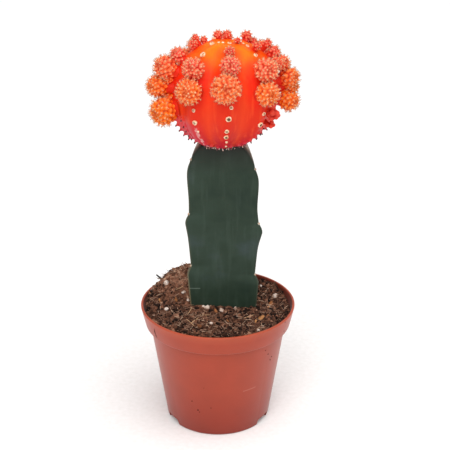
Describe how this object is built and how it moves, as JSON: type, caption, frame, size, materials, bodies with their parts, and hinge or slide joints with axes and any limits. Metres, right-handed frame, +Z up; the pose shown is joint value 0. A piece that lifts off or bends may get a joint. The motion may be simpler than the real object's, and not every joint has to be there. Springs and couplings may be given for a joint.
{
  "type": "potted moon cactus",
  "caption": "Grafted cactus: an orange ribbed globe with warty offsets on an angled green stem, standing in peat in a small tapered plastic pot.",
  "frame": {"origin": "middle of the pot's foot, on the surface that the pot stands on", "axes": "+Z up along the pot's axis, -Y towards the flat side of the green stem, +X to the right of a viewer on -Y"},
  "size_m": [0.065, 0.065, 0.1661],
  "materials": {
    "pot": "terracotta-coloured injection-moulded polypropylene, satin, with a few specks of soil",
    "soil": "coarse dry peat with fibres, bark crumbs and white perlite",
    "rootstock": "dark green waxy cactus skin, satin, corky along its shaved shoulders and edges",
    "scion": "orange to red fleshy cactus skin, satin, with pale woolly areoles and short spines"
  },
  "bodies": {
    "root": {"pot": "pot", "soil": "soil", "rootstock": "rootstock", "scion": "scion"}
  },
  "joints": []
}
